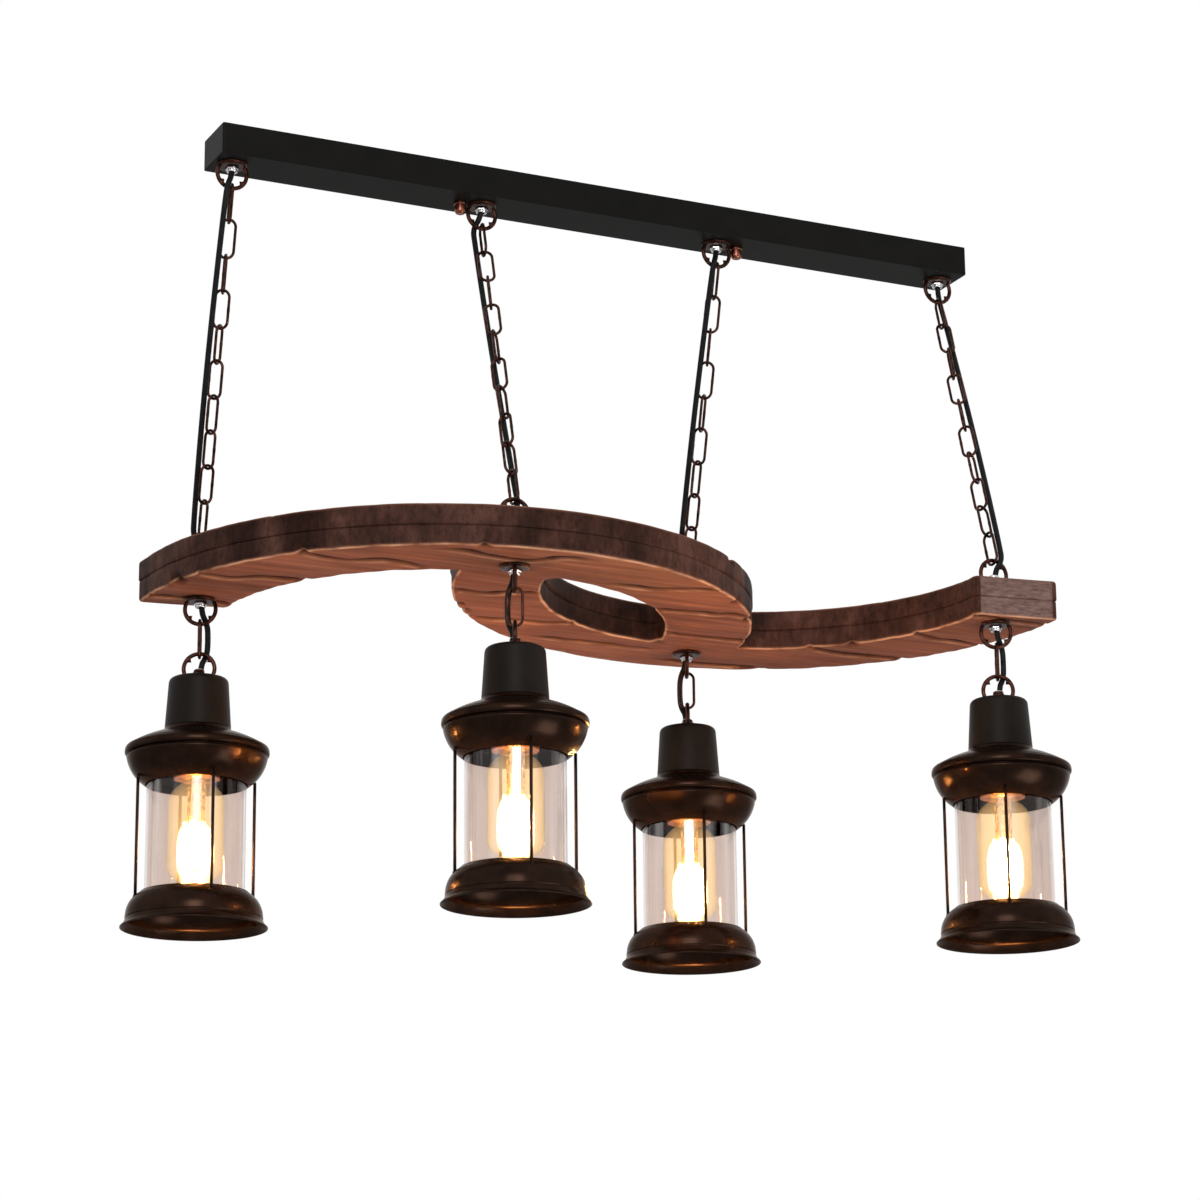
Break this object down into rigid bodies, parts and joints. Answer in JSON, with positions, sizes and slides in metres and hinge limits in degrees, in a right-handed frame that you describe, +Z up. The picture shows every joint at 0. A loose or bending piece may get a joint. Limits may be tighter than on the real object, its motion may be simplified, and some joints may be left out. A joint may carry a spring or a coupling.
{
  "type": "wooden lantern chandelier",
  "caption": "S-shaped wooden board hung on chains from a long black canopy, carrying lit glass lanterns on short links, as a ceiling light over a table or a bar.",
  "frame": {"origin": "on the ceiling plane, at the middle of the ceiling bracket's two screw holes", "axes": "+Z up into the ceiling, X along the canopy, +Y across it"},
  "size_m": [0.8764, 0.3606, 0.7422],
  "materials": {
    "canopy_paint": "satin black powder coat",
    "zinc": "zinc plated",
    "block": "moulded, off white",
    "bronze_chain": "antique copper, dark with worn highlights",
    "chrome": "polished",
    "copper": "copper plated",
    "cord": "black flexible cord",
    "board_wood": "stained softwood, carved and worn",
    "cap_black": "matte black",
    "lantern_bronze": "oil rubbed bronze",
    "socket_brass": "copper toned lampholder",
    "clear_glass": "clear",
    "bulb_glass": "amber tint, lit",
    "bulb_base": "brass screw shell and filament"
  },
  "bodies": {
    "canopy": {"canopy_cover": "canopy_paint", "ceiling_bracket": "zinc", "bracket_studs": "zinc", "terminal_block": "block", "canopy_loops": "bronze_chain", "canopy_glands": "chrome"},
    "fixing_nut_left": {"fixing_nut_left": "copper"},
    "fixing_nut_right": {"fixing_nut_right": "copper"},
    "board": {"chain_1": "bronze_chain", "chain_2": "bronze_chain", "chain_3": "bronze_chain", "chain_4": "bronze_chain", "power_cords": "cord", "board_upper_plank": "board_wood", "board_lower_plank": "board_wood", "board_tubes": "zinc", "board_loops": "bronze_chain", "board_glands": "chrome", "lantern_cords": "cord"},
    "link_1": {"lantern_1_link": "bronze_chain"},
    "lantern_1": {"lantern_1_loop": "bronze_chain", "lantern_1_cap": "cap_black", "lantern_1_shade": "lantern_bronze", "lantern_1_socket": "socket_brass", "lantern_1_glass": "clear_glass", "lantern_1_stays": "lantern_bronze", "lantern_1_base": "lantern_bronze"},
    "bulb_1": {"lantern_1_bulb_glass": "bulb_glass", "lantern_1_bulb_base": "bulb_base"},
    "link_2": {"lantern_2_link": "bronze_chain"},
    "lantern_2": {"lantern_2_loop": "bronze_chain", "lantern_2_cap": "cap_black", "lantern_2_shade": "lantern_bronze", "lantern_2_socket": "socket_brass", "lantern_2_glass": "clear_glass", "lantern_2_stays": "lantern_bronze", "lantern_2_base": "lantern_bronze"},
    "bulb_2": {"lantern_2_bulb_glass": "bulb_glass", "lantern_2_bulb_base": "bulb_base"},
    "link_3": {"lantern_3_link": "bronze_chain"},
    "lantern_3": {"lantern_3_loop": "bronze_chain", "lantern_3_cap": "cap_black", "lantern_3_shade": "lantern_bronze", "lantern_3_socket": "socket_brass", "lantern_3_glass": "clear_glass", "lantern_3_stays": "lantern_bronze", "lantern_3_base": "lantern_bronze"},
    "bulb_3": {"lantern_3_bulb_glass": "bulb_glass", "lantern_3_bulb_base": "bulb_base"},
    "link_4": {"lantern_4_link": "bronze_chain"},
    "lantern_4": {"lantern_4_loop": "bronze_chain", "lantern_4_cap": "cap_black", "lantern_4_shade": "lantern_bronze", "lantern_4_socket": "socket_brass", "lantern_4_glass": "clear_glass", "lantern_4_stays": "lantern_bronze", "lantern_4_base": "lantern_bronze"},
    "bulb_4": {"lantern_4_bulb_glass": "bulb_glass", "lantern_4_bulb_base": "bulb_base"}
  },
  "joints": [
    {"name": "board_swing", "type": "hinge", "parent": "canopy", "child": "board", "pos_m": [0, 0, -0.0541], "axis": [1, 0, 0], "range_deg": [-15, 15], "deforming": ["power_cords"]},
    {"name": "fixing_nut_left_turn", "type": "hinge", "parent": "canopy", "child": "fixing_nut_left", "pos_m": [-0.15125, 0, -0.03], "axis": [0, 0, 1], "continuous": true},
    {"name": "fixing_nut_right_turn", "type": "hinge", "parent": "canopy", "child": "fixing_nut_right", "pos_m": [0.15125, 0, -0.03], "axis": [0, 0, 1], "continuous": true},
    {"name": "link_1_swing", "type": "hinge", "parent": "board", "child": "link_1", "pos_m": [-0.36994, 0.112, -0.45092], "axis": [0.9063, -0.4226, 0], "range_deg": [-15, 15], "deforming": ["lantern_cords"]},
    {"name": "lantern_1_swing", "type": "hinge", "parent": "link_1", "child": "lantern_1", "pos_m": [-0.36994, 0.112, -0.48362], "axis": [0.4226, 0.9063, 0], "range_deg": [-15, 15], "deforming": ["lantern_cords"]},
    {"name": "bulb_1_turn", "type": "hinge", "parent": "lantern_1", "child": "bulb_1", "pos_m": [-0.36994, 0.112, -0.60101], "axis": [0, 0, 1], "continuous": true},
    {"name": "link_2_swing", "type": "hinge", "parent": "board", "child": "link_2", "pos_m": [-0.14465, -0.112, -0.45092], "axis": [0.4226, 0.9063, 0], "range_deg": [-15, 15], "deforming": ["lantern_cords"]},
    {"name": "lantern_2_swing", "type": "hinge", "parent": "link_2", "child": "lantern_2", "pos_m": [-0.14465, -0.112, -0.48362], "axis": [-0.9063, 0.4226, 0], "range_deg": [-15, 15], "deforming": ["lantern_cords"]},
    {"name": "bulb_2_turn", "type": "hinge", "parent": "lantern_2", "child": "bulb_2", "pos_m": [-0.14465, -0.112, -0.60101], "axis": [0, 0, 1], "continuous": true},
    {"name": "link_3_swing", "type": "hinge", "parent": "board", "child": "link_3", "pos_m": [0.14465, 0.112, -0.45092], "axis": [0.4226, 0.9063, 0], "range_deg": [-15, 15], "deforming": ["lantern_cords"]},
    {"name": "lantern_3_swing", "type": "hinge", "parent": "link_3", "child": "lantern_3", "pos_m": [0.14465, 0.112, -0.48362], "axis": [-0.9063, 0.4226, 0], "range_deg": [-15, 15], "deforming": ["lantern_cords"]},
    {"name": "bulb_3_turn", "type": "hinge", "parent": "lantern_3", "child": "bulb_3", "pos_m": [0.14465, 0.112, -0.60101], "axis": [0, 0, 1], "continuous": true},
    {"name": "link_4_swing", "type": "hinge", "parent": "board", "child": "link_4", "pos_m": [0.36994, -0.112, -0.45092], "axis": [0.9063, -0.4226, 0], "range_deg": [-15, 15], "deforming": ["lantern_cords"]},
    {"name": "lantern_4_swing", "type": "hinge", "parent": "link_4", "child": "lantern_4", "pos_m": [0.36994, -0.112, -0.48362], "axis": [0.4226, 0.9063, 0], "range_deg": [-15, 15], "deforming": ["lantern_cords"]},
    {"name": "bulb_4_turn", "type": "hinge", "parent": "lantern_4", "child": "bulb_4", "pos_m": [0.36994, -0.112, -0.60101], "axis": [0, 0, 1], "continuous": true}
  ]
}
